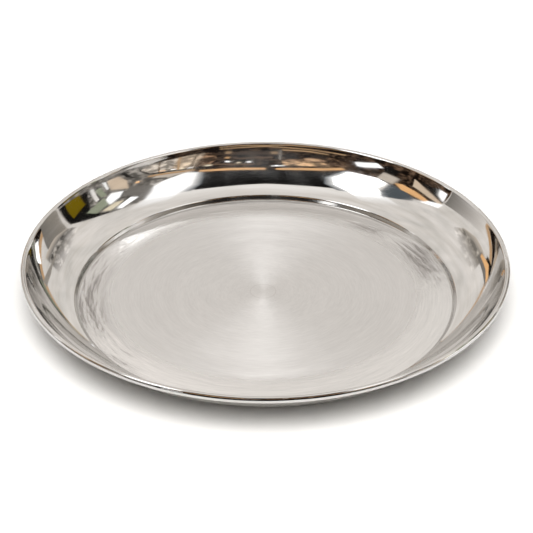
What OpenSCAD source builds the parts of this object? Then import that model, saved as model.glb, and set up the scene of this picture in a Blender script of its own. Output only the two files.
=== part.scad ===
// Round stainless steel thali: one sheet pressed into a shallow dish with a stepped floor and a rolled rim.
// The origin is on the table under the middle of the dish, with +Z up. Sizes are in millimetres.

/* [Dish] */
// Diameter over the outside of the rolled rim
rim_d = 300; // [220:1:380]
// Height from the table to the top of the rim
dish_h = 29; // [25:0.5:36]
// Level distance from the edge of the flat floor to the outside of the rim
wall_run = 44.5; // [41:0.5:56]
// Thickness of the steel sheet
sheet_t = 0.8; // [0.5:0.05:1.2]

/* [Floor step] */
// Radius of the shallow sweep that starts to lift the sheet at the edge of the flat floor
sweep_r = 60; // [40:1:90]
// Slope at the end of the sweep, in degrees
sweep_slope = 9; // [5:0.5:12]
// Inside radius of the bend between the sweep and the riser
floor_bend_r = 7; // [4:0.25:9]
// Slope of the short riser round the floor, in degrees
riser_slope = 45; // [40:1:52]
// Outside radius of the shoulder that turns the riser into the wall
shoulder_r = 1.75; // [1:0.25:3]

/* [Wall] */
// Radius of the wall's hollow curve in section
wall_curve_r = 60; // [50:1:200]

/* [Rim] */
// Outside diameter of the rolled edge
curl_d = 3.8; // [3:0.1:6]
// How far the edge is rolled round from the wall, in degrees
curl_turn = 275; // [200:5:290]

/* [Hidden] */

// The dish is spun in this many steps
$fn = 360;
// An arc in section lies no further than this from its chords
chord_gap = 0.01;

floor_r = rim_d / 2 - wall_run;
curl_r = curl_d / 2;
// Radius of the shoulder on the upper face of the sheet
shoulder_top_r = shoulder_r + sheet_t;

// Direction in section from the sheet to its underside, square to the sheet, at a given slope
function square_to(slope) = [sin(slope), -cos(slope)];

// Slope of the sheet where the line square to it runs from one arc's centre to the next
function slope_between(from, to) = atan2(to.x - from.x, from.y - to.y);

// Point at distance a from p and at distance b from q, on the left of the way from p to q
function point_between(p, a, q, b) =
    let (d = norm(q - p))
    let (way = (q - p) / d)
    let (along = (a * a - b * b + d * d) / (2 * d))
    let (across = sqrt(a * a - along * along))
    p + along * way + across * [-way.y, way.x];

// Points of an arc about a centre, without its first one
function arc(centre, radius, from, to) =
    let (step = 2 * acos(1 - chord_gap / radius))
    let (count = ceil(abs(to - from) / step))
    [for (i = [1:count]) let (a = from + (to - from) * i / count) centre + radius * [cos(a), sin(a)]];

function reversed(points) = [for (i = [len(points) - 1:-1:0]) points[i]];

// Centres of the arcs in section, each arc tangent to the next
sweep_c = [floor_r, sheet_t + sweep_r];
bend_c = sweep_c + (sweep_r - floor_bend_r) * square_to(sweep_slope);
shoulder_c = bend_c + (floor_bend_r + shoulder_top_r) * square_to(riser_slope);
curl_c = [rim_d / 2 - curl_r, dish_h - curl_r];
wall_c = point_between(shoulder_c, wall_curve_r + shoulder_top_r, curl_c, wall_curve_r + curl_r);

// Slopes of the wall at its foot and at the rolled edge
foot_slope = slope_between(wall_c, shoulder_c);
lip_slope = slope_between(wall_c, curl_c);

// One face of the sheet, this deep below the upper face, from the middle of the floor to the tip of the curl
function face(depth) = concat(
    [[0, sheet_t - depth], [floor_r, sheet_t - depth]],
    arc(sweep_c, sweep_r + depth, -90, sweep_slope - 90),
    arc(bend_c, floor_bend_r + depth, sweep_slope - 90, riser_slope - 90),
    arc(shoulder_c, shoulder_top_r - depth, riser_slope + 90, foot_slope + 90),
    arc(wall_c, wall_curve_r + depth, foot_slope - 90, lip_slope - 90),
    arc(curl_c, curl_r - depth, lip_slope + 90, lip_slope + 90 - curl_turn)
);

// The whole dish, spun from the section between the two faces of the sheet
module dish() {
    color("silver")
        rotate_extrude()
            polygon(concat(face(0), reversed(face(sheet_t))));
}

dish();
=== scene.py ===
"""Dress a pressed stainless steel thali: a spun dish with a brushed floor, a buffed wall and a rolled rim."""

import logging
import math
from dataclasses import dataclass
from enum import Enum

import bpy
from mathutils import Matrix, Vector


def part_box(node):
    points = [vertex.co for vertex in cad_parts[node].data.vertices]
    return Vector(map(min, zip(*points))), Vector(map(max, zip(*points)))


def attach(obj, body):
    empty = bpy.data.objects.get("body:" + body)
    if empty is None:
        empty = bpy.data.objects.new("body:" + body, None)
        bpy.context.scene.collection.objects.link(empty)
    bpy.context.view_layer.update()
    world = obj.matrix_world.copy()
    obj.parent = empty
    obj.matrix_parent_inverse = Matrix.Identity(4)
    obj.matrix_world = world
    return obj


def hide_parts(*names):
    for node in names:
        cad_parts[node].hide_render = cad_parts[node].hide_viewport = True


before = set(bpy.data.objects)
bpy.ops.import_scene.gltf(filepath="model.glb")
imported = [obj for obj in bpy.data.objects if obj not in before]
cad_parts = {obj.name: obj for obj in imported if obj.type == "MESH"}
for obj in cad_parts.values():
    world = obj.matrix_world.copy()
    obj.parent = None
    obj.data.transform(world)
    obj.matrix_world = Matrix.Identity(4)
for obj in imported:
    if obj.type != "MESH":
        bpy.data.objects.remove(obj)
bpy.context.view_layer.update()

LOG = logging.getLogger("thali")
MM = 0.001
IMAGE_PX = 533
SENSOR_MM = 36.0
# most of a noise's values lie in a middle stretch, which these spread over the whole range
LINE_RANGE = {"From Min": 0.3, "From Max": 0.7}
CLOUD_RANGE = {"From Min": 0.35, "From Max": 0.65}
# sockets of a mix node's colours, whose names its other sockets share
MIX_A = 6
MIX_B = 7
MIX_OUT = 2

Point = tuple[float, float]
Colour = tuple[float, float, float, float]


def linear(hex_code: str, strength: float = 1.0) -> Colour:
    """Turn an sRGB hex colour into linear light.

    Args:
        hex_code: Six hex digits, red first.
        strength: What the light is multiplied by.

    Returns:
        Red, green and blue in linear light, with an alpha of 1.
    """
    channels = [int(hex_code[i:i + 2], 16) / 255 for i in (0, 2, 4)]
    red, green, blue = (c / 12.92 if c <= 0.04045 else ((c + 0.055) / 1.055) ** 2.4 for c in channels)
    return (red * strength, green * strength, blue * strength, 1.0)


def add_node(
    tree: bpy.types.NodeTree,
    kind: str,
    values: dict | None = None,
    links: dict | None = None,
    **settings: object,
) -> bpy.types.Node:
    """Add a node to a tree with its settings, values and incoming links.

    Args:
        tree: Node tree of a material or the world.
        kind: Blender's name of the node's type.
        values: Input name or number to the value that it is set to.
        links: Input name or number to the output socket that feeds it.
        settings: Other properties of the node.

    Returns:
        The new node.
    """
    node = tree.nodes.new(kind)
    for name, value in settings.items():
        setattr(node, name, value)
    for socket, value in (values or {}).items():
        node.inputs[socket].default_value = value
    for socket, source in (links or {}).items():
        tree.links.new(source, node.inputs[socket])
    return node


class Zone(Enum):
    """Stretches of the sheet that carry different finishes, in the order of the mesh's material slots."""

    FLOOR = 0
    WALL = 1
    UNDERSIDE = 2
    RISER = 3


class Tone(Enum):
    """Colours of the studio's cards, as they show in the buffed steel."""

    WHITE = "ffffff"
    BRIGHT = "eeebe7"
    SCRIM = "d5d0cb"
    FOLD = "bfbcb7"
    CREAM = "e8dcc2"
    PALE = "d3c0aa"
    STONE = "c2b8ac"
    GREY = "8f8981"
    SAGE = "949a86"
    DUSK = "74706b"
    SLATE = "50565b"
    BLACK = "151413"
    EBONY = "17110e"
    BROWN = "3c2f25"
    UMBER = "6a5340"
    AMBER = "e6b47e"
    TAN = "b89773"
    OLIVE = "6e5c0d"


@dataclass(frozen=True)
class Arc:
    """A round stretch of the sheet in section, in millimetres and degrees."""

    centre: Vector
    radius: float
    start: float
    end: float
    steps: int
    with_first: bool = False

    def points(self) -> list[Point]:
        """Lay points along the arc.

        Returns:
            The points, with the first one only where a straight stretch leads up to it.
        """
        spread = (self.end - self.start) / self.steps
        first = 0 if self.with_first else 1
        angles = [math.radians(self.start + spread * i) for i in range(first, self.steps + 1)]
        x, y = self.centre
        return [(x + self.radius * math.cos(a), y + self.radius * math.sin(a)) for a in angles]


@dataclass(frozen=True)
class DishSection:
    """The dish cut through its axis: radius across and height up, in millimetres and degrees."""

    rim_d: float
    dish_h: float
    wall_run: float = 33.88
    sheet_t: float = 0.8
    floor_bend_r: float = 1.5
    riser_slope: float = 62.0
    riser_run: float = 1.76
    shoulder_r: float = 1.25
    wall_curve_r: float = 60.0
    curl_d: float = 3.8
    curl_turn: float = 275.0
    floor_rings: int = 16
    bend_steps: int = 16
    shoulder_steps: int = 10
    wall_steps: int = 40
    curl_steps: int = 40

    @property
    def floor_r(self) -> float:
        """Radius of the flat floor."""
        return self.rim_d / 2 - self.wall_run

    @property
    def bend_c(self) -> Vector:
        """Centre of the bend between the floor and the riser."""
        return Vector((self.floor_r, self.sheet_t + self.floor_bend_r))

    @property
    def shoulder_c(self) -> Vector:
        """Find the centre of the shoulder above the straight riser.

        Returns:
            Radius and height of the centre.
        """
        square = self.square_to(self.riser_slope)
        reach = self.floor_bend_r + self.shoulder_r + self.sheet_t
        return self.bend_c + reach * square + self.riser_run * Vector((-square.y, square.x))

    @property
    def curl_c(self) -> Vector:
        """Centre of the rolled edge."""
        return Vector((self.rim_d / 2 - self.curl_d / 2, self.dish_h - self.curl_d / 2))

    @property
    def wall_c(self) -> Vector:
        """Find the centre of the wall's curve, which is tangent to the shoulder and to the rolled edge.

        Returns:
            Radius and height of the centre.
        """
        from_shoulder = self.wall_curve_r + self.shoulder_r + self.sheet_t
        from_curl = self.wall_curve_r + self.curl_d / 2
        span = self.curl_c - self.shoulder_c
        way = span.normalized()
        along = (from_shoulder ** 2 - from_curl ** 2 + span.length_squared) / (2 * span.length)
        across = math.sqrt(from_shoulder ** 2 - along ** 2)
        return self.shoulder_c + along * way + across * Vector((-way.y, way.x))

    def square_to(self, slope: float) -> Vector:
        """Direction from the sheet to its underside at a slope in degrees."""
        return Vector((math.sin(math.radians(slope)), -math.cos(math.radians(slope))))

    def slope_towards(self, centre: Vector) -> float:
        """Slope of the wall in degrees where it meets the arc about another centre."""
        way = centre - self.wall_c
        return math.degrees(math.atan2(way.x, -way.y))

    def face(self, depth: float) -> list[Point]:
        """One face of the sheet, from the edge of the floor to the tip of the rolled edge.

        Args:
            depth: Distance below the upper face.

        Returns:
            Points in section.
        """
        foot = self.slope_towards(self.shoulder_c)
        lip = self.slope_towards(self.curl_c)
        riser = self.riser_slope
        shoulder_top_r = self.shoulder_r + self.sheet_t
        stretches = (
            Arc(self.bend_c, self.floor_bend_r + depth, -90, riser - 90, self.bend_steps),
            Arc(self.shoulder_c, shoulder_top_r - depth, riser + 90, foot + 90, self.shoulder_steps, True),
            Arc(self.wall_c, self.wall_curve_r + depth, foot - 90, lip - 90, self.wall_steps),
            Arc(self.curl_c, self.curl_d / 2 - depth, lip + 90, lip + 90 - self.curl_turn, self.curl_steps),
        )
        return [point for stretch in stretches for point in stretch.points()]

    def floor(self, height: float) -> list[Point]:
        """Points along the flat floor at a height, from just off the axis to its edge."""
        return [(self.floor_r * i / self.floor_rings, height) for i in range(1, self.floor_rings + 1)]

    def outline(self) -> tuple[list[Point], list[Zone]]:
        """The whole section, from the floor's upper face round the rolled edge to its underside.

        Returns:
            Points in order, and for each stretch between two of them the zone that it belongs to.
        """
        top_floor, top_wall = self.floor(self.sheet_t), self.face(0.0)
        under = self.face(self.sheet_t)[::-1] + self.floor(0.0)[::-1]
        floor_zones = [Zone.FLOOR] * (len(top_floor) - 1)
        riser = self.bend_steps + 1
        wall_zones = [Zone.RISER] * riser + [Zone.WALL] * (len(top_wall) - riser)
        return top_floor + top_wall + under, floor_zones + wall_zones + [Zone.UNDERSIDE] * len(under)


@dataclass(frozen=True)
class BareSteel:
    """Bare stainless steel, which can carry marks that run in circles round a centre."""

    name: str
    colour: str
    roughness: float
    roughness_swing: float
    centre_mm: Point = (0.0, 0.0)

    @property
    def roughness_range(self) -> dict[str, float]:
        """Least and greatest roughness, as a map range gives them."""
        half = self.roughness_swing / 2
        return {"To Min": self.roughness - half, "To Max": self.roughness + half}

    def start(self) -> tuple[bpy.types.Material, bpy.types.Node]:
        """Make the bare metal.

        Returns:
            The material and its shader.
        """
        material = bpy.data.materials.new(self.name)
        material.use_nodes = True
        shader = material.node_tree.nodes["Principled BSDF"]
        shader.inputs["Base Color"].default_value = linear(self.colour)
        shader.inputs["Metallic"].default_value = 1.0
        return material, shader

    def polar(self, tree: bpy.types.NodeTree) -> tuple[bpy.types.Node, bpy.types.Node]:
        """Measure places on the metal from the centre of its marks.

        Args:
            tree: Node tree of the material.

        Returns:
            The nodes that give the distance and the direction from the centre.
        """
        place = add_node(tree, "ShaderNodeTexCoord")
        offset = (-self.centre_mm[0] * MM, -self.centre_mm[1] * MM, 0)
        level = add_node(
            tree, "ShaderNodeVectorMath", {1: (1, 1, 0), 2: offset}, {0: place.outputs["Object"]},
            operation="MULTIPLY_ADD",
        )
        radius = add_node(tree, "ShaderNodeVectorMath", links={0: level.outputs[0]}, operation="LENGTH")
        bearing = add_node(tree, "ShaderNodeVectorMath", links={0: level.outputs[0]}, operation="NORMALIZE")
        return radius, bearing

    def rings(
        self,
        radius: bpy.types.Node,
        bearing: bpy.types.Node,
        spacing_mm: float,
        arcs: float,
    ) -> bpy.types.NodeSocket:
        """Add a noise that is drawn out along circles round the centre.

        Args:
            radius: Node that gives the distance from the centre.
            bearing: Node that gives the direction from the centre.
            spacing_mm: Distance between rings.
            arcs: How often a ring breaks up on its way round.

        Returns:
            The noise, from 0 to 1.
        """
        tree = radius.id_data
        out = add_node(
            tree, "ShaderNodeMath", {1: 1 / (spacing_mm * MM)}, {0: radius.outputs["Value"]},
            operation="MULTIPLY",
        )
        up = add_node(tree, "ShaderNodeCombineXYZ", links={"Z": out.outputs[0]})
        spot = add_node(
            tree, "ShaderNodeVectorMath", {1: (arcs, arcs, 0)}, {0: bearing.outputs[0], 2: up.outputs[0]},
            operation="MULTIPLY_ADD",
        )
        noise = add_node(
            tree, "ShaderNodeTexNoise", {"Scale": 1.0, "Detail": 2.0, "Roughness": 0.6},
            {"Vector": spot.outputs[0]},
        )
        return noise.outputs[0]


@dataclass(frozen=True)
class BrushedSteel(BareSteel):
    """Floor brushed in circles: a soft grey with fine rings and fans of light that point at the middle."""

    name: str = "stainless_steel_circular_brushed"
    colour: str = "e0dfde"
    centre_mm: Point = (-1.5, 2.0)
    dark_line: str = "d2d1d0"
    roughness: float = 0.36
    roughness_swing: float = 0.08
    anisotropy: float = 0.8
    # real brush lines are about 0.1 mm apart; they are drawn coarser here, so that the eye can find them
    line_mm: float = 0.9
    line_arcs: float = 7.0
    line_depth_mm: float = 0.003
    band_mm: float = 7.0
    band_arcs: float = 1.2
    band_share: float = 0.4
    mark_mm: float = 8.0
    mark_blend_mm: float = 0.8
    mark_roughness: float = 0.29
    # painted shade of the groove round the turned centre mark, which the mesh doesn't carry
    painted_groove_shade: str = "8f8981"
    groove_half_mm: float = 0.3
    groove_shade: float = 0.15
    fade_mm: Point = (90.0, 104.0)
    fade_roughness: float = 0.1
    wave_mm: float = 6.0
    wave_arcs: float = 4.0
    wave_depth_mm: float = 0.12

    def build(self) -> bpy.types.Material:
        """Make the material.

        Returns:
            The new material.
        """
        material, shader = self.start()
        tree = material.node_tree
        radius, bearing = self.polar(tree)
        lines = self.rings(radius, bearing, self.line_mm, self.line_arcs)
        bands = self.rings(radius, bearing, self.band_mm, self.band_arcs)
        mixed = add_node(tree, "ShaderNodeMix", {"Factor": self.band_share}, {"A": lines, "B": bands})
        spread = add_node(tree, "ShaderNodeMapRange", LINE_RANGE, {"Value": mixed.outputs[0]})
        tint = add_node(
            tree, "ShaderNodeMix", {MIX_A: linear(self.dark_line), MIX_B: linear(self.colour)},
            {"Factor": spread.outputs[0]}, data_type="RGBA",
        )
        # the lathe's centre leaves a small turned disc with a groove round it; the groove isn't in the mesh,
        # and a darker ring of colour paints its shade
        painted_groove_shade = add_node(
            tree, "ShaderNodeMath", {1: self.mark_mm * MM, 2: self.groove_half_mm * MM},
            {0: radius.outputs["Value"]}, operation="COMPARE",
        )
        painted_groove_share = add_node(
            tree, "ShaderNodeMath", {1: self.groove_shade}, {0: painted_groove_shade.outputs[0]}, operation="MULTIPLY",
        )
        tint_with_painted_groove = add_node(
            tree, "ShaderNodeMix", {MIX_B: linear(self.painted_groove_shade)},
            {"Factor": painted_groove_share.outputs[0], MIX_A: tint.outputs[MIX_OUT]}, data_type="RGBA",
        )
        rough = add_node(tree, "ShaderNodeMapRange", self.roughness_range, {"Value": spread.outputs[0]})
        off_mark = add_node(
            tree, "ShaderNodeMapRange",
            {"From Min": (self.mark_mm - self.mark_blend_mm) * MM,
             "From Max": (self.mark_mm + self.mark_blend_mm) * MM},
            {"Value": radius.outputs["Value"]}, interpolation_type="SMOOTHSTEP",
        )
        with_mark = add_node(
            tree, "ShaderNodeMix", {"A": self.mark_roughness},
            {"Factor": off_mark.outputs[0], "B": rough.outputs[0]},
        )
        # the brush lifts off towards the edge, where the press's polish and its shallow waves show again
        to_edge = add_node(
            tree, "ShaderNodeMapRange", {"From Min": self.fade_mm[0] * MM, "From Max": self.fade_mm[1] * MM},
            {"Value": radius.outputs["Value"]}, interpolation_type="SMOOTHSTEP",
        )
        faded = add_node(
            tree, "ShaderNodeMix", {"B": self.fade_roughness},
            {"Factor": to_edge.outputs[0], "A": with_mark.outputs[0]},
        )
        wave = self.rings(radius, bearing, self.wave_mm, self.wave_arcs)
        waves = add_node(
            tree, "ShaderNodeBump", {"Distance": self.wave_depth_mm * MM},
            {"Height": wave, "Strength": to_edge.outputs[0]},
        )
        brushed = add_node(tree, "ShaderNodeMath", {0: 1.0}, {1: to_edge.outputs[0]}, operation="SUBTRACT")
        bump = add_node(
            tree, "ShaderNodeBump", {"Distance": self.line_depth_mm * MM},
            {"Height": lines, "Strength": brushed.outputs[0], "Normal": waves.outputs[0]},
        )
        shader.inputs["Anisotropic"].default_value = self.anisotropy
        tree.links.new(tint_with_painted_groove.outputs[MIX_OUT], shader.inputs["Base Color"])
        tree.links.new(faded.outputs[0], shader.inputs["Roughness"])
        tree.links.new(bump.outputs[0], shader.inputs["Normal"])
        # lines scatter light across themselves, so the spread runs out from the middle
        tree.links.new(bearing.outputs[0], shader.inputs["Tangent"])
        return material


@dataclass(frozen=True)
class BuffedSteel(BareSteel):
    """Wall and rim buffed bright on a wheel: a mirror with fine streaks and faint waves."""

    name: str = "stainless_steel_buffed_bright"
    colour: str = "d5d4d3"
    dark_streak: str = "c9c7c4"
    roughness: float = 0.06
    roughness_swing: float = 0.05
    haze_mm: float = 14.0
    wave_mm: float = 24.0
    wave_depth_mm: float = 0.04
    # real buffing lines are finer than 0.1 mm; they are drawn coarser here
    streak_mm: float = 3.0
    streak_arcs: float = 3.0
    streak_depth_mm: float = 0.001

    def build(self) -> bpy.types.Material:
        """Make the material.

        Returns:
            The new material.
        """
        material, shader = self.start()
        tree = material.node_tree
        radius, bearing = self.polar(tree)
        streaks = self.rings(radius, bearing, self.streak_mm, self.streak_arcs)
        spread = add_node(tree, "ShaderNodeMapRange", LINE_RANGE, {"Value": streaks})
        tint = add_node(
            tree, "ShaderNodeMix", {MIX_A: linear(self.dark_streak), MIX_B: linear(self.colour)},
            {"Factor": spread.outputs[0]}, data_type="RGBA",
        )
        place = add_node(tree, "ShaderNodeTexCoord")
        haze = add_node(
            tree, "ShaderNodeTexNoise", {"Scale": 1 / (self.haze_mm * MM), "Detail": 3.0},
            {"Vector": place.outputs["Object"]},
        )
        rough = add_node(
            tree, "ShaderNodeMapRange", CLOUD_RANGE | self.roughness_range, {"Value": haze.outputs[0]},
        )
        wave = add_node(
            tree, "ShaderNodeTexNoise", {"Scale": 1 / (self.wave_mm * MM), "Detail": 1.0},
            {"Vector": place.outputs["Object"]},
        )
        waves = add_node(
            tree, "ShaderNodeBump", {"Strength": 1.0, "Distance": self.wave_depth_mm * MM},
            {"Height": wave.outputs[0]},
        )
        bump = add_node(
            tree, "ShaderNodeBump", {"Strength": 1.0, "Distance": self.streak_depth_mm * MM},
            {"Height": streaks, "Normal": waves.outputs[0]},
        )
        tree.links.new(tint.outputs[MIX_OUT], shader.inputs["Base Color"])
        tree.links.new(rough.outputs[0], shader.inputs["Roughness"])
        tree.links.new(bump.outputs[0], shader.inputs["Normal"])
        return material


@dataclass(frozen=True)
class PressedSteel(BuffedSteel):
    """Riser as the press left it, out of the wheel's reach: a soft satin that blurs what it mirrors."""

    name: str = "stainless_steel_pressed_satin"
    colour: str = "c2c1bf"
    dark_streak: str = "b0aeab"
    roughness: float = 0.14
    roughness_swing: float = 0.05


@dataclass(frozen=True)
class MillSteel(BareSteel):
    """Underside as the rolled sheet came from the mill: a dull grey sheen with cloudy patches, its grey
    darkened to paint in the shade it mirrors.
    """

    name: str = "stainless_steel_mill_rolled"
    # the grey is darker than bare steel's: painted shade, for the shadowed table under the dish that the
    # underside mirrors
    colour: str = "9a9792"
    roughness: float = 0.38
    roughness_swing: float = 0.08
    cloud_mm: float = 30.0

    def build(self) -> bpy.types.Material:
        """Make the material.

        Returns:
            The new material.
        """
        material, shader = self.start()
        tree = material.node_tree
        place = add_node(tree, "ShaderNodeTexCoord")
        clouds = add_node(
            tree, "ShaderNodeTexNoise", {"Scale": 1 / (self.cloud_mm * MM), "Detail": 4.0},
            {"Vector": place.outputs["Object"]},
        )
        rough = add_node(
            tree, "ShaderNodeMapRange", CLOUD_RANGE | self.roughness_range, {"Value": clouds.outputs[0]},
        )
        tree.links.new(rough.outputs[0], shader.inputs["Roughness"])
        return material


@dataclass
class Dish:
    """The dish itself, spun from its section as one closed sheet."""

    section: DishSection
    turn_steps: int = 256
    name: str = "thali_dish"

    def build(self) -> bpy.types.Object:
        """Spin the section, dress it and tie it to the frame.

        Returns:
            The new object.
        """
        outline, zones = self.section.outline()
        mesh = bpy.data.meshes.new(self.name)
        vertices = [self._spot(r, z, k) for r, z in outline for k in range(self.turn_steps)]
        top_pole, under_pole = len(vertices), len(vertices) + 1
        vertices += [(0.0, 0.0, outline[0][1] * MM), (0.0, 0.0, outline[-1][1] * MM)]
        faces: list[tuple[int, ...]] = []
        slots: list[int] = []
        for ring, zone in enumerate(zones):
            for k in range(self.turn_steps):
                near, far = self._edge(ring, k), self._edge(ring + 1, k)
                faces.append((near[0], far[0], far[1], near[1]))
                slots.append(zone.value)
        last_ring = len(outline) - 1
        for k in range(self.turn_steps):
            first, last = self._edge(0, k), self._edge(last_ring, k)
            faces += [(top_pole, first[0], first[1]), (under_pole, last[1], last[0])]
            slots += [Zone.FLOOR.value, Zone.UNDERSIDE.value]
        mesh.from_pydata(vertices, [], faces)
        mesh.polygons.foreach_set("material_index", slots)
        mesh.polygons.foreach_set("use_smooth", [True] * len(faces))
        dish = bpy.data.objects.new(self.name, mesh)
        bpy.context.scene.collection.objects.link(dish)
        for finish in (BrushedSteel(), BuffedSteel(), MillSteel(), PressedSteel()):
            mesh.materials.append(finish.build())
        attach(dish, "root")
        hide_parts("dish")
        return dish

    def _spot(self, r: float, z: float, step: int) -> tuple[float, float, float]:
        """Place in metres of a point of the section, turned by a number of steps."""
        turn = 2 * math.pi * step / self.turn_steps
        return (r * MM * math.cos(turn), r * MM * math.sin(turn), z * MM)

    def _edge(self, ring: int, step: int) -> tuple[int, int]:
        """Numbers of the two points of a ring at a step and the next one."""
        start = ring * self.turn_steps
        return (start + step, start + (step + 1) % self.turn_steps)


@dataclass(frozen=True)
class Card:
    """A flat card of the studio that shows only in the steel.

    Its corners are angles from straight up as the dish sees them, in degrees: to the right, and to the back.
    A card with a far tone runs from its tone along the first half of its corners to that one along the rest.
    Mottle, from 0 to 1, is how far dark and light patches take the place of an even tone.
    """

    name: str
    tone: Tone
    corners: tuple[Point, ...]
    strength: float = 1.5
    reach: float = 2.2
    far_tone: Tone | None = None
    mottle: float = 0.0

    def build(self, centre: Vector, material: bpy.types.Material) -> None:
        """Make the card.

        Args:
            centre: Place of the dish, in metres.
            material: What the card is made of.
        """
        ways = [self._way(right, back) for right, back in self.corners]
        square = sum(ways, Vector((0.0, 0.0, 0.0))).normalized()
        count = len(ways)
        mesh = bpy.data.meshes.new(self.name)
        faces = [tuple(range(count))]
        if self.far_tone:
            faces = [(i, i + 1, count - i - 2, count - i - 1) for i in range(count // 2 - 1)]
        mesh.from_pydata([centre + way * self.reach / way.dot(square) for way in ways], [], faces)
        near = linear(self.tone.value, self.strength)[:3] + (self.mottle,)
        far = linear((self.far_tone or self.tone).value, self.strength)[:3] + (self.mottle,)
        tint = mesh.color_attributes.new("tint", "FLOAT_COLOR", "POINT")
        for i, spot in enumerate(tint.data):
            spot.color = near if i < count // 2 else far
        mesh.materials.append(material)
        card = bpy.data.objects.new(self.name, mesh)
        bpy.context.scene.collection.objects.link(card)
        card.visible_camera = False
        card.visible_diffuse = False
        card.visible_transmission = False
        card.visible_shadow = False

    def _way(self, right: float, back: float) -> Vector:
        """Turn a corner's angles into a direction.

        Args:
            right: Degrees from straight up to the right.
            back: Degrees from straight up to the back.

        Returns:
            Direction from the dish to the corner, of length 1.
        """
        tilt = math.hypot(right, back)
        level = math.sin(math.radians(tilt)) / tilt if tilt else 0.0
        return Vector((right * level, back * level, math.cos(math.radians(tilt))))


# edges of a smear low on the right, from the inner one outwards
GRAIN_EDGES = (
    ((47, 34), (39, 45), (35, 53.5), (33.5, 61)),
    ((50, 36.5), (47, 46.5), (44, 54.5), (40.6, 62)),
    ((51, 38), (49.8, 47.5), (47, 55.5), (43.5, 63.2)),
    ((52.5, 39), (53, 49), (50, 57), (46, 64.5)),
)


def grain(side: str, sign: int, tone: Tone, mottles: Point) -> tuple[Card, ...]:
    """Make the cards of a soft smear that the wall mirrors at one side.

    Args:
        side: Name of the side.
        sign: 1 for the right and -1 for the left.
        tone: Tone in the middle of the smear.
        mottles: Mottle of its inner card and of its core.

    Returns:
        The inner card, the core and the outer card.
    """
    edges = [tuple((sign * right, back) for right, back in edge) for edge in GRAIN_EDGES]
    inner, core_in, core_out, outer = edges
    return (
        Card(f"grain_{side}_inner", Tone.SCRIM, inner + core_in[::-1], far_tone=tone, mottle=mottles[0]),
        Card(f"grain_{side}_core", tone, core_in + core_out[::-1], mottle=mottles[1]),
        Card(f"grain_{side}_outer", tone, core_out + outer[::-1], far_tone=Tone.STONE),
    )


# what lights the dish: a pale scrim, two softboxes with a dark column between, and low lamps for the step
LIGHT_CARDS = (
    Card(
        "scrim_edge", Tone.BRIGHT,
        ((-32, 7), (-19.5, 3.5), (0, 0), (16.5, 4), (30.5, 10.5),
         (30.5, 19), (15.5, 16), (0, 14), (-18.5, 14), (-31.5, 15)),
        reach=2.4, far_tone=Tone.SCRIM,
    ),
    Card(
        "column", Tone.BLACK,
        ((-19.5, 3), (0, 0), (16.5, 4), (20.5, 1.5),
         (22, -11.5), (23.5, -18.5), (-27, -19), (-21, -12.5), (-18.5, -2.5)),
    ),
    Card(
        "softbox_left", Tone.WHITE,
        ((-20, 8.5), (-18.5, -2.5), (-21, -11), (-30, -18.5),
         (-40, -11), (-41, -5.5), (-33, -0.5), (-32, 7)),
        strength=3.4,
    ),
    Card(
        "softbox_right", Tone.WHITE,
        ((20.5, 8.5), (20, -2.5), (22, -11.5), (23.5, -18),
         (28, -18), (33.5, -9), (34.5, -2.5), (32, 3), (30, 11)),
        strength=1.8,
    ),
    Card(
        "softbox_left_rim", Tone.WHITE,
        ((-20, 6), (-18.5, -2.5), (-21, -11), (-30, -18.5),
         (-27.5, -19), (-18, -11.2), (-15.5, -2.5), (-17, 5)),
        strength=1.2, reach=2.1, far_tone=Tone.SLATE,
    ),
    Card(
        "softbox_right_rim", Tone.WHITE,
        ((20.5, 6), (20, -2.5), (22, -11.5), (23.5, -18), (21, -18), (19, -11.3), (17, -2.3), (17.5, 5.2)),
        strength=1.2, reach=2.1, far_tone=Tone.SLATE,
    ),
    Card(
        "softbox_left_spill", Tone.WHITE,
        ((-32, 7), (-20, 8.5), (-19, 16), (-31.5, 16)),
        strength=1.5, reach=2.3, far_tone=Tone.SCRIM,
    ),
    Card(
        "softbox_right_spill", Tone.WHITE,
        ((20.5, 8.5), (30, 11), (30.5, 19), (20, 17)),
        strength=1.5, reach=2.3, far_tone=Tone.SCRIM,
    ),
    Card(
        "softbox_edge_left", Tone.SLATE,
        ((-44.5, 9.5), (-42, 11), (-29.5, 7.5), (-33, 2), (-40.5, -4), (-43, -4.5), (-45, 4)),
    ),
    Card(
        "softbox_edge_right", Tone.DUSK,
        ((30, 10), (33, 12.5), (36.5, 1.5), (39, -2.5), (35.5, -4.5), (33, 2)),
    ),
    Card(
        "low_lamp_right", Tone.WHITE,
        ((73, -13), (76, -4), (78, 6), (79, 18), (84.5, 19), (83.5, 6), (81.5, -5), (78, -14)),
        strength=4.0,
    ),
    Card("low_lamp_left", Tone.WHITE, ((-38, -55), (-36, -51), (-44, -45), (-48, -48)), strength=4.0),
    Card(
        "low_screen_left", Tone.GREY,
        ((-48, -44), (-55, -36), (-63, -25), (-70, -11), (-74, 5),
         (-84, 5), (-79, -12), (-71, -27), (-62, -40), (-53, -49)),
        far_tone=Tone.STONE,
    ),
    Card(
        "low_screen_right", Tone.GREY,
        ((36, -55), (48, -44), (55, -36), (63, -25), (69, -14),
         (78, -15), (71, -27), (62, -40), (53, -49), (40, -60)),
        far_tone=Tone.STONE,
    ),
)

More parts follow.
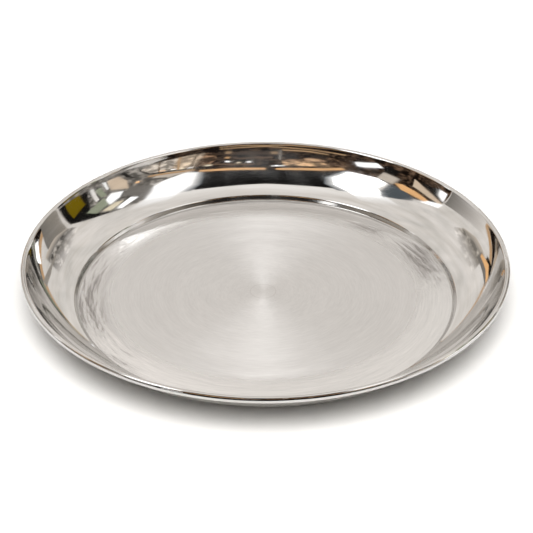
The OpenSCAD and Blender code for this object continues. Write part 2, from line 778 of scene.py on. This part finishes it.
# the room in front of the dish: a dark wall with warm beams, panels and small lights
ROOM_CARDS = (
    Card(
        "room_wall", Tone.BROWN,
        ((-34, -17), (27, -17), (45, -12), (56, -16), (40, -40), (0, -54), (-38, -40)),
        strength=0.7, reach=2.4, mottle=1.0,
    ),
    Card(
        "room_floor", Tone.EBONY,
        ((-31, -42), (0, -50), (26, -42), (64, -22), (64, -66), (-64, -66), (-64, -22)),
    ),
    Card(
        "beam_left", Tone.AMBER,
        ((-34, -23.5), (-22, -22.5), (-3.5, -22), (-3.5, -19.5), (-18.5, -19.5), (-31, -20.5)),
    ),
    Card(
        "beam_right", Tone.AMBER,
        ((0, -22.5), (13, -22.5), (23.5, -20.5), (23, -18.5), (13, -19.5), (0, -20)),
    ),
    Card(
        "beam_far", Tone.TAN,
        ((26, -21.5), (36, -17.5), (44, -13), (43, -11.5), (35, -15.5), (25, -19.5)),
        reach=2.0,
    ),
    Card(
        "glow_left", Tone.UMBER,
        ((-6.5, -33), (-18.5, -35.5), (-32, -30), (-34, -24), (-16.5, -25), (-6.5, -26)),
        far_tone=Tone.TAN, mottle=0.7,
    ),
    Card(
        "haze_left", Tone.UMBER,
        ((-22, -31), (-27, -35), (-34, -32), (-33, -24.5), (-25, -23.5)),
        strength=1.2, reach=2.1, mottle=0.9,
    ),
    Card(
        "line_left", Tone.TAN,
        ((-8, -47), (-20.5, -44.5), (-29, -39.5), (-28.5, -38.5), (-20, -43), (-8, -45.5)),
        reach=2.0,
    ),
    Card("pole", Tone.GREY, ((-7.6, -46), (-6.6, -46), (-5.4, -33), (-6.2, -33)), reach=2.0),
    Card("tube", Tone.WHITE, ((-2, -24), (-7, -24.5), (-7, -25.8), (-2, -25.3)), reach=2.0),
    Card(
        "lamp_1", Tone.WHITE,
        ((-4.6, -24.4), (-3.4, -24.4), (-3.4, -25.6), (-4.6, -25.6)),
        strength=3.0, reach=1.9,
    ),
    Card(
        "lamp_2", Tone.WHITE,
        ((5.5, -29.4), (7.1, -29.4), (7.1, -30.8), (5.5, -30.8)),
        strength=3.0, reach=1.9,
    ),
    Card("lamp_3", Tone.WHITE, ((14, -29.8), (16, -30), (16, -31.4), (14, -31.2)), strength=3.0, reach=1.9),
    Card(
        "lamp_4", Tone.CREAM,
        ((9.5, -28.5), (11, -28.5), (11, -29.7), (9.5, -29.7)),
        strength=2.0, reach=1.9,
    ),
    Card(
        "lamp_5", Tone.CREAM,
        ((20.5, -25.5), (23, -25), (23, -26.3), (20.5, -26.6)),
        strength=2.5, reach=1.9,
    ),
    Card("lamp_6", Tone.AMBER, ((15, -34.5), (17, -34.5), (17, -37), (15, -37)), strength=1.2, reach=1.9),
    Card("lamp_7", Tone.TAN, ((15.5, -41), (18, -41), (18, -44), (15.5, -44)), strength=1.2, reach=1.9),
    Card("lamp_8", Tone.TAN, ((-5.5, -41), (-2.5, -41), (-2.5, -44), (-5.5, -44)), strength=1.0, reach=1.9),
    Card("rail_low", Tone.UMBER, ((4, -26.5), (22, -26.2), (22, -27.6), (4, -27.8)), reach=2.0),
    Card("rail_mid", Tone.UMBER, ((-3, -35), (13, -34), (13, -35.5), (-3, -37)), strength=1.0, reach=2.0),
    Card("rail_high", Tone.BROWN, ((-6, -40), (26, -38), (27, -41), (-6, -43.5)), reach=2.05),
    Card(
        "skirting", Tone.TAN,
        ((-37, -37.5), (-20, -46), (0, -50.5), (22, -46.5),
         (22, -47.5), (0, -51.8), (-20, -47.2), (-37.5, -38.5)),
        reach=2.05,
    ),
    Card(
        "panel_far", Tone.STONE,
        ((51.5, -17.5), (50, -25), (43, -31), (39, -34), (36, -19.5), (44.5, -15.5)),
        strength=1.2, reach=2.1, mottle=0.45,
    ),
    Card(
        "panel_mid", Tone.PALE,
        ((43.5, -30.5), (34.5, -38), (28, -41.5), (27, -23), (36.5, -19.5)),
        strength=1.2, reach=2.12, mottle=0.45,
    ),
    Card(
        "panel_near", Tone.UMBER,
        ((29, -41), (22.5, -42), (20.2, -33.2), (21.8, -28), (28, -23)),
        reach=2.14, mottle=0.7,
    ),
    Card(
        "panel_seam_1", Tone.UMBER,
        ((46.8, -27.5), (46.2, -28), (40.4, -17.4), (41, -17)),
        strength=1.2, reach=2.0,
    ),
    Card("panel_seam_2", Tone.TAN, ((39, -34), (38, -35), (32.4, -21), (33.4, -20.6)), reach=2.0),
    Card(
        "panel_seam_3", Tone.BROWN,
        ((31.5, -39.6), (30.5, -40.2), (28, -23.4), (29, -23)),
        strength=1.2, reach=2.0,
    ),
    Card(
        "panel_edge", Tone.BLACK,
        ((52.5, -16.5), (44.5, -14), (36, -18), (27, -21.8),
         (27.5, -22.9), (36, -19.3), (44.5, -15.4), (52, -17.8)),
        reach=2.05,
    ),
    Card(
        "dash_1", Tone.WHITE,
        ((36.5, -19.8), (34.5, -20.6), (34.3, -21.6), (36.3, -20.8)),
        strength=2.5, reach=1.9,
    ),
    Card(
        "dash_2", Tone.CREAM,
        ((33, -21.2), (31, -22), (30.8, -23), (32.8, -22.2)),
        strength=2.0, reach=1.9,
    ),
    Card(
        "dash_3", Tone.WHITE,
        ((29.5, -22.3), (27.5, -23), (27.4, -24), (29.4, -23.3)),
        strength=2.5, reach=1.9,
    ),
    Card(
        "dash_4", Tone.AMBER,
        ((41, -17.4), (38.5, -18.6), (38.3, -19.5), (40.8, -18.4)),
        strength=2.0, reach=1.9,
    ),
)

# shelves and strips on the left
LEFT_CARDS = (
    Card(
        "left_wall", Tone.BROWN,
        ((-72, 16), (-56, 18), (-44.5, 9.5), (-40, -11), (-30, -18.5), (-30, -40), (-52, -36), (-70, -10)),
        reach=2.4, mottle=0.9,
    ),
    Card(
        "left_glow", Tone.WHITE,
        ((-49.5, -20.5), (-40.5, -23), (-35.5, -25.5), (-38.5, -29.5), (-49.5, -26)),
        strength=2.0,
    ),
    Card(
        "left_shade", Tone.BROWN,
        ((-36, -21), (-29.5, -20), (-29.5, -26.5), (-37.5, -35.5), (-42, -35), (-38.5, -31)),
    ),
    Card("left_plate", Tone.STONE, ((-51, -8.5), (-43, -4.5), (-40, -12), (-47, -16.5))),
    Card("left_block", Tone.BLACK, ((-57, -14), (-50, -12), (-47, -16.5), (-52.5, -23))),
    Card(
        "left_strip_1", Tone.AMBER,
        ((-51, 13.5), (-47.5, 12.5), (-44, 1), (-45.5, -5.5), (-48.5, -3.5), (-50.5, 3.5)),
    ),
    Card("left_strip_2", Tone.BROWN, ((-53.5, 14), (-51.5, 13.5), (-50.5, 1), (-53, 0))),
    Card(
        "left_strip_3", Tone.PALE,
        ((-56.5, 18.5), (-54.5, 19), (-53.5, 11), (-52.5, 0), (-59.5, -5.5), (-58.5, 3.5)),
    ),
    Card("left_strip_4", Tone.BLACK, ((-60, 13.5), (-57.5, 17.5), (-59, 3.5), (-60, -1.5), (-65, 8.5))),
    Card(
        "left_gap_1", Tone.WHITE,
        ((-67, 15.5), (-58, 18), (-60.5, 12.5), (-66, 10)),
        strength=2.0, reach=2.0,
    ),
    Card(
        "left_gap_2", Tone.WHITE,
        ((-56.5, 19.5), (-51, 20), (-45, 12.5), (-50.5, 13.5)),
        strength=2.0, reach=2.0,
    ),
    Card("left_screen", Tone.DUSK, ((-71, 17), (-58, 19), (-57.5, 52.5), (-66, 53.5)), far_tone=Tone.SCRIM),
)

# frames and panels on the right
RIGHT_CARDS = (
    Card(
        "right_wall", Tone.DUSK,
        ((31, 12.5), (42.5, 21), (53, 35), (70, 36), (71, 8),
         (62, -14), (49.5, -26), (27, -24), (28, -18), (34, -9), (38, -2)),
        reach=2.4, mottle=0.5,
    ),
    Card("right_plate", Tone.STONE, ((26, -19), (33.5, -12.5), (41, -11), (35, -21), (27.5, -24.5))),
    Card(
        "right_rail", Tone.GREY,
        ((27.5, -24.5), (35, -21), (48, -11), (48, -13), (36, -23.5), (27.5, -26.5)),
    ),
    Card(
        "right_frame", Tone.BLACK,
        ((32, 14.5), (46.5, 28.5), (53, 35), (69, 35.5),
         (69.5, 31.5), (67, 12), (53.5, 19.5), (50, 23.5), (42.5, 21)),
    ),
    Card("right_pane", Tone.OLIVE, ((54.5, 31.5), (69, 31), (69, 18), (58, 20)), reach=2.0),
    Card(
        "right_gap_1", Tone.WHITE,
        ((35, 17.5), (38, 17), (38.5, 7.5), (34.5, 7.5)),
        strength=2.0, reach=2.0,
    ),
    Card("right_post", Tone.CREAM, ((39, 19), (43.5, 20), (42.5, 12.5), (39.5, 10.5)), reach=2.0),
    Card(
        "right_gap_2", Tone.WHITE,
        ((43.5, 15), (49.5, 12), (51.5, 6.5), (46.5, 3), (44, 8.5)),
        strength=2.0, reach=1.95,
    ),
    Card("right_door", Tone.SAGE, ((44.5, 22.5), (51, 24.5), (52, 11), (45, 13)), reach=2.0),
    Card("right_slab", Tone.BRIGHT, ((53.5, 15.5), (66, 11), (65.5, 8.5), (53.5, 13)), reach=2.0),
    Card("right_drawer", Tone.SAGE, ((53.5, 11.5), (62.5, 9), (62, 5), (52.5, 8.5)), reach=2.0),
    Card("right_ledge", Tone.WHITE, ((56, 5), (64.5, 1.5), (63, 0), (56, 3.5)), reach=2.0),
    Card("right_shade", Tone.DUSK, ((36.5, 6), (44, 6.5), (46.5, -2.5), (38.5, -3.5))),
    Card("right_board", Tone.PALE, ((45.5, 0), (54, 3.5), (63, -1.5), (60, -8), (52, -6.5))),
    Card(
        "right_lamp", Tone.AMBER,
        ((44.2, -5.2), (45.8, -5.2), (45.8, -6.8), (44.2, -6.8)),
        strength=3.0, reach=1.9,
    ),
    Card(
        "right_bar", Tone.BLACK,
        ((48, -10), (54.5, -8.5), (61, -10.5), (60, -12.5), (52.5, -10.5)),
        reach=2.0,
    ),
    Card(
        "right_screen", Tone.GREY,
        ((50.5, 38.5), (70, 38.5), (63.5, 58.5), (49.5, 59)),
        far_tone=Tone.DUSK,
    ),
)

# low things behind the dish, which its floor's edge and its front wall mirror
BACK_CARDS = (
    Card("back_shade", Tone.DUSK, ((-5, 60), (4, 60), (5, 73), (-6, 73)), far_tone=Tone.SCRIM),
    Card(
        "back_glow_left", Tone.WHITE,
        ((-8, 60.2), (-8, 58.6), (-4.3, 60.5), (-4.3, 61.4)),
        strength=4.0, reach=2.1, far_tone=Tone.FOLD,
    ),
    *(
        Card(f"back_shade_{place}", Tone.BROWN, corners, far_tone=Tone.SCRIM)
        for place, corners in (
            ("left_1", ((-7.5, 55.5), (-5.5, 57), (-5.5, 73), (-8, 73))),
            ("left_2", ((-13, 54.5), (-10, 54.5), (-11, 73), (-14.5, 73))),
            ("right_1", ((5, 60), (7, 59.5), (7.5, 73), (5, 73))),
            ("right_2", ((8.5, 58.5), (11, 58), (12, 73), (9, 73))),
            ("right_3", ((13, 57.5), (15.5, 57), (17, 73), (14, 73))),
        )
    ),
    Card("back_rail_left", Tone.DUSK, ((-50, 53.5), (-45.5, 49), (-33, 77.5), (-36, 77.5), (-43, 68))),
    Card(
        "back_rail_right", Tone.GREY,
        ((48, 42.5), (41, 61.5), (36, 77.5), (33, 77.5), (36.5, 67.5), (46.5, 42.5)),
    ),
    Card("back_dark_left", Tone.BLACK, ((-47.5, 66), (-45.5, 65), (-36, 79), (-40, 79))),
    Card(
        "back_gold_left", Tone.AMBER,
        ((-46.5, 60), (-44.5, 60), (-40, 70), (-34, 77), (-36, 77), (-43, 71)),
        reach=2.0,
    ),
    Card("back_glow_right", Tone.WHITE, ((44, 71), (57, 65), (53, 74), (45, 74)), strength=2.5),
    Card("back_dark_right", Tone.SLATE, ((36, 77), (43, 75.5), (42, 80), (33, 82))),
    *grain("right", 1, Tone.DUSK, (0.2, 0.6)),
    *grain("left", -1, Tone.GREY, (0.15, 0.4)),
)

# degrees round the dish that each card of the room's foot takes up
HORIZON_SPAN = 30

# the dark foot of the room all round, low over the table, higher in front
HORIZON_CARDS = tuple(
    Card(
        f"horizon_{tone.name.lower()}_{turn}", tone,
        tuple(
            (tilt * math.sin(math.radians(side)), tilt * math.cos(math.radians(side)))
            for side, tilt in (
                (turn, high), (turn + HORIZON_SPAN, high), (turn + HORIZON_SPAN, low), (turn, low),
            )
        ),
        reach=2.6,
    )
    for tone, high, low, turns in (
        (Tone.EBONY, 85.5, 89.6, range(-120, 120, HORIZON_SPAN)),
        (Tone.EBONY, 66.0, 89.6, range(120, 240, HORIZON_SPAN)),
        (Tone.TAN, 83.0, 85.4, range(-60, 60, HORIZON_SPAN)),
    )
    for turn in turns
)


@dataclass
class Studio:
    """A white table in soft light, with the cards that the steel mirrors."""

    table_half: float = 6.0
    table_colour: str = "fffdfa"
    # far behind the dish the table is darker in the steel, which outlines the rolled edge
    table_mirrored: str = "5c5955"
    mirrored_mm: Point = (160.0, 300.0)
    key_rise: float = 59.0
    key_turn: float = 14.0
    key_light: float = 4.6
    # cosines of the angles from a key light's middle at which it starts and is full
    key_edge: Point = (0.88, 0.98)
    fill_light: float = 0.12
    scrim_strength: float = 1.65
    fold_strength: float = 1.5
    fold_scale: float = 4.0
    fold_twist: float = 1.2
    fold_edge: Point = (0.35, 0.7)
    fold_depth: float = 0.8
    mottle_mm: float = 130.0
    mottle_edge: Point = (0.42, 0.7)
    mottle_light: Point = (0.05, 4.0)
    card_centre: Vector = Vector((0.0, 0.0, 0.027))
    cards: tuple[Card, ...] = LIGHT_CARDS + ROOM_CARDS + LEFT_CARDS + RIGHT_CARDS + BACK_CARDS + HORIZON_CARDS

    def build(self) -> None:
        """Make the table, the cards and the world."""
        self._table()
        material = self._card_paper()
        for card in self.cards:
            card.build(self.card_centre, material)
        self._world()

    def _table(self) -> None:
        """Make the white table, which is darker in the steel where it lies far behind the dish."""
        half = self.table_half
        mesh = bpy.data.meshes.new("table")
        corners = [(-half, -half, 0), (half, -half, 0), (half, half, 0), (-half, half, 0)]
        mesh.from_pydata(corners, [], [(0, 1, 2, 3)])
        material = bpy.data.materials.new("white_painted_board")
        material.use_nodes = True
        tree = material.node_tree
        shader = tree.nodes["Principled BSDF"]
        path = add_node(tree, "ShaderNodeLightPath")
        place = add_node(tree, "ShaderNodeTexCoord")
        way = add_node(tree, "ShaderNodeSeparateXYZ", links={0: place.outputs["Object"]})
        behind = add_node(
            tree, "ShaderNodeMapRange",
            {"From Min": self.mirrored_mm[0] * MM, "From Max": self.mirrored_mm[1] * MM},
            {"Value": way.outputs["Y"]}, interpolation_type="SMOOTHSTEP",
        )
        mirrored = add_node(
            tree, "ShaderNodeMath", links={0: behind.outputs[0], 1: path.outputs["Is Glossy Ray"]},
            operation="MULTIPLY",
        )
        paint = add_node(
            tree, "ShaderNodeMix",
            {MIX_A: linear(self.table_colour), MIX_B: linear(self.table_mirrored)},
            {"Factor": mirrored.outputs[0]}, data_type="RGBA",
        )
        tree.links.new(paint.outputs[MIX_OUT], shader.inputs["Base Color"])
        shader.inputs["Roughness"].default_value = 1.0
        shader.inputs["Specular IOR Level"].default_value = 0.0
        mesh.materials.append(material)
        table = bpy.data.objects.new("table", mesh)
        bpy.context.scene.collection.objects.link(table)

    def _card_paper(self) -> bpy.types.Material:
        """Make the lit paper of all cards, which takes each card's own tint and mottle.

        Returns:
            The new material.
        """
        material = bpy.data.materials.new("studio_card_paper")
        material.use_nodes = True
        tree = material.node_tree
        tree.nodes.clear()
        tint = add_node(tree, "ShaderNodeAttribute", attribute_name="tint")
        place = add_node(tree, "ShaderNodeTexCoord")
        noise = add_node(
            tree, "ShaderNodeTexNoise",
            {"Scale": 1 / (self.mottle_mm * MM), "Detail": 3.0, "Roughness": 0.65},
            {"Vector": place.outputs["Object"]},
        )
        uneven = add_node(
            tree, "ShaderNodeMapRange",
            {"From Min": self.mottle_edge[0], "From Max": self.mottle_edge[1],
             "To Min": self.mottle_light[0], "To Max": self.mottle_light[1]},
            {"Value": noise.outputs[0]}, interpolation_type="SMOOTHSTEP",
        )
        level = add_node(
            tree, "ShaderNodeMix", {"A": 1.0}, {"Factor": tint.outputs["Alpha"], "B": uneven.outputs[0]},
        )
        glow = add_node(
            tree, "ShaderNodeEmission", links={"Color": tint.outputs["Color"], "Strength": level.outputs[0]},
        )
        add_node(tree, "ShaderNodeOutputMaterial", links={"Surface": glow.outputs[0]})
        return material

    def _world(self) -> None:
        """Make the surround: white for the camera, the scrim for mirrors and the key lights for the rest."""
        world = bpy.data.worlds.new("studio")
        bpy.context.scene.world = world
        world.use_nodes = True
        tree = world.node_tree
        tree.nodes.clear()
        path = add_node(tree, "ShaderNodeLightPath")
        place = add_node(tree, "ShaderNodeTexCoord")
        lit = add_node(
            tree, "ShaderNodeMix",
            links={
                "Factor": path.outputs["Is Glossy Ray"],
                MIX_A: self._keys(place),
                MIX_B: self._scrim(place),
            },
            data_type="RGBA",
        )
        seen = add_node(
            tree, "ShaderNodeMix", {MIX_B: linear(Tone.WHITE.value)},
            {"Factor": path.outputs["Is Camera Ray"], MIX_A: lit.outputs[MIX_OUT]}, data_type="RGBA",
        )
        background = add_node(tree, "ShaderNodeBackground", links={"Color": seen.outputs[MIX_OUT]})
        add_node(tree, "ShaderNodeOutputWorld", links={"Surface": background.outputs[0]})

    def _keys(self, place: bpy.types.Node) -> bpy.types.NodeSocket:
        """Add two soft key lights in front of the dish, one to each side, over a weak fill.

        Args:
            place: Node that gives the direction.

        Returns:
            Strength of the light.
        """
        tree = place.id_data
        rise, turn = math.radians(self.key_rise), math.radians(self.key_turn)
        keys = []
        for side in (-1, 1):
            level = Vector((side * math.sin(turn), -math.cos(turn), 0.0)) * math.cos(rise)
            towards = add_node(
                tree, "ShaderNodeVectorMath", {1: level + Vector((0.0, 0.0, math.sin(rise)))},
                {0: place.outputs["Generated"]}, operation="DOT_PRODUCT",
            )
            keys.append(add_node(
                tree, "ShaderNodeMapRange",
                {"From Min": self.key_edge[0], "From Max": self.key_edge[1],
                 "To Min": self.fill_light / 2, "To Max": self.key_light},
                {"Value": towards.outputs["Value"]}, interpolation_type="SMOOTHSTEP",
            ))
        front = add_node(
            tree, "ShaderNodeMath", links={0: keys[0].outputs[0], 1: keys[1].outputs[0]}, operation="ADD",
        )
        return front.outputs[0]

    def _scrim(self, place: bpy.types.Node) -> bpy.types.NodeSocket:
        """Add the scrim's cloth, whose folds draw soft smears in the steel.

        Args:
            place: Node that gives the direction.

        Returns:
            Colour of the cloth's light.
        """
        tree = place.id_data
        folds = add_node(
            tree, "ShaderNodeTexNoise",
            {"Scale": self.fold_scale, "Detail": 3.0, "Distortion": self.fold_twist},
            {"Vector": place.outputs["Generated"]},
        )
        depth = add_node(
            tree, "ShaderNodeMapRange",
            {"From Min": self.fold_edge[0], "From Max": self.fold_edge[1], "To Max": self.fold_depth},
            {"Value": folds.outputs[0]},
        )
        cloth = add_node(
            tree, "ShaderNodeMix",
            {MIX_A: linear(Tone.SCRIM.value, self.scrim_strength),
             MIX_B: linear(Tone.FOLD.value, self.fold_strength)},
            {"Factor": depth.outputs[0]}, data_type="RGBA",
        )
        return cloth.outputs[MIX_OUT]


@dataclass(frozen=True)
class PhotoCamera:
    """The camera where the photograph was taken from, set by its view of the rim."""

    rise_deg: float = 31.588
    distance_mm: float = 1050.0
    pitch_deg: float = 31.906
    yaw_deg: float = 0.0429
    focal_px: float = 1703.03

    def build(self, section: DishSection) -> None:
        """Make the camera and set it as the scene's.

        Args:
            section: The dish, whose rolled edge the camera is placed from.
        """
        data = bpy.data.cameras.new("photo_camera")
        data.sensor_width = SENSOR_MM
        data.lens = self.focal_px * SENSOR_MM / IMAGE_PX
        camera = bpy.data.objects.new("photo_camera", data)
        bpy.context.scene.collection.objects.link(camera)
        rise = math.radians(self.rise_deg)
        camera.location = (
            0.0,
            -self.distance_mm * math.cos(rise) * MM,
            (self.distance_mm * math.sin(rise) + section.curl_c.y) * MM,
        )
        camera.rotation_euler = (math.radians(90 - self.pitch_deg), 0.0, -math.radians(self.yaw_deg))
        bpy.context.scene.camera = camera


def main() -> None:
    """Build the dish, the studio and the camera."""
    logging.basicConfig(level=logging.INFO, format="%(message)s")
    low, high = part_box("dish")
    section = DishSection(rim_d=(high[0] - low[0]) / MM, dish_h=(high[2] - low[2]) / MM)
    PhotoCamera().build(section)
    dish = Dish(section).build()
    LOG.info("%s: %d faces", dish.name, len(dish.data.polygons))
    studio = Studio()
    studio.build()
    LOG.info("studio: %d cards", len(studio.cards))
    bpy.context.scene.view_settings.view_transform = "Standard"


if __name__ == "__main__":
    main()
